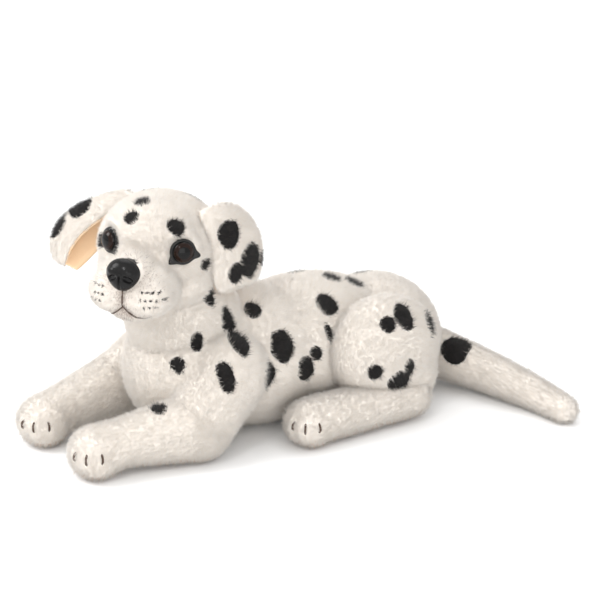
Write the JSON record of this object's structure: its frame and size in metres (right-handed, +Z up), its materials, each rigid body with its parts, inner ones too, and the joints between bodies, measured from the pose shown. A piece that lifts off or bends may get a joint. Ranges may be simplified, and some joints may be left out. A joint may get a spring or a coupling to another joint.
{
  "type": "plush dog",
  "caption": "Plush spotted puppy lying on its belly with its head turned to its left, drooping lined ears, shiny eyes and nose, stuffed legs and a long tail.",
  "frame": {"origin": "on the surface the dog lies on, under the middle of its belly", "axes": "+Z up, the dog faces -Y, its left side is +X"},
  "size_m": [0.1871, 0.2972, 0.1459],
  "materials": {
    "plush": "short white pile with black dyed spots",
    "fibre_filling": "loose polyester fibre",
    "ear_suede": "tan brushed suede cloth",
    "sole_suede": "pink-tan brushed suede cloth",
    "eye_plastic": "glossy, dark brown iris round a black pupil",
    "nose_plastic": "glossy black, moulded",
    "rim_leatherette": "soft satin black",
    "washer_plastic": "plain moulded",
    "embroidery_thread": "dark brown stitched thread"
  },
  "bodies": {
    "torso": {"torso_left_panel": "plush", "torso_right_panel": "plush", "belly_panel": "plush", "torso_stuffing": "fibre_filling", "left_thigh_panel": "plush", "right_thigh_panel": "plush", "left_thigh_stuffing": "fibre_filling", "right_thigh_stuffing": "fibre_filling"},
    "head": {"head_left_panel": "plush", "head_right_panel": "plush", "head_gusset": "plush", "chin_panel": "plush", "head_stuffing": "fibre_filling", "left_eye": "eye_plastic", "right_eye": "eye_plastic", "left_eye_rim": "rim_leatherette", "right_eye_rim": "rim_leatherette", "left_eye_washer": "washer_plastic", "right_eye_washer": "washer_plastic", "nose": "nose_plastic", "nose_washer": "washer_plastic", "mouth_stitching": "embroidery_thread"},
    "left_ear": {"left_ear_outer": "plush", "left_ear_lining": "ear_suede"},
    "right_ear": {"right_ear_outer": "plush", "right_ear_lining": "ear_suede"},
    "front_left_leg": {"front_left_leg_panel": "plush", "front_left_leg_stuffing": "fibre_filling", "front_left_sole": "sole_suede", "front_left_claws": "embroidery_thread"},
    "front_right_leg": {"front_right_leg_panel": "plush", "front_right_leg_stuffing": "fibre_filling", "front_right_sole": "sole_suede", "front_right_claws": "embroidery_thread"},
    "hind_left_foot": {"hind_left_foot_panel": "plush", "hind_left_foot_stuffing": "fibre_filling", "hind_left_sole": "sole_suede", "hind_left_claws": "embroidery_thread"},
    "hind_right_foot": {"hind_right_foot_panel": "plush", "hind_right_foot_stuffing": "fibre_filling", "hind_right_sole": "sole_suede", "hind_right_claws": "embroidery_thread"},
    "tail": {"tail_panel": "plush", "tail_stuffing": "fibre_filling"}
  },
  "joints": [
    {"name": "head_turn", "type": "hinge", "parent": "torso", "child": "head", "pos_m": [0, -0.084, 0.076], "axis": [0, -0.4384, 0.8988], "range_deg": [-20, 20], "stiffness_Nm_per_rad": 0.4},
    {"name": "left_ear_lift", "type": "hinge", "parent": "head", "child": "left_ear", "pos_m": [0.0209, -0.07037, 0.13282], "axis": [0.8382, -0.545, -0.0169], "range_deg": [0, 55], "stiffness_Nm_per_rad": 0.02},
    {"name": "right_ear_lift", "type": "hinge", "parent": "head", "child": "right_ear", "pos_m": [-0.02346, -0.11174, 0.13706], "axis": [-0.4852, 0.8742, -0.0169], "range_deg": [-25, 30], "stiffness_Nm_per_rad": 0.02},
    {"name": "front_left_leg_swing", "type": "hinge", "parent": "torso", "child": "front_left_leg", "pos_m": [0.04, -0.097, 0.018], "axis": [0, 0, 1], "range_deg": [-4, 18], "stiffness_Nm_per_rad": 0.08},
    {"name": "front_right_leg_swing", "type": "hinge", "parent": "torso", "child": "front_right_leg", "pos_m": [-0.04, -0.108, 0.018], "axis": [0, 0, -1], "range_deg": [-4, 18], "stiffness_Nm_per_rad": 0.08},
    {"name": "hind_left_foot_swing", "type": "hinge", "parent": "torso", "child": "hind_left_foot", "pos_m": [0.051, 0.041, 0.014], "axis": [0, 0, 1], "range_deg": [0, 20], "stiffness_Nm_per_rad": 0.08},
    {"name": "hind_right_foot_swing", "type": "hinge", "parent": "torso", "child": "hind_right_foot", "pos_m": [-0.051, 0.041, 0.014], "axis": [0, 0, -1], "range_deg": [0, 20], "stiffness_Nm_per_rad": 0.08},
    {"name": "tail_swing", "type": "hinge", "parent": "torso", "child": "tail", "pos_m": [0.008, 0.082, 0.02], "axis": [0, 0, 1], "range_deg": [0, 75], "stiffness_Nm_per_rad": 0.05}
  ]
}
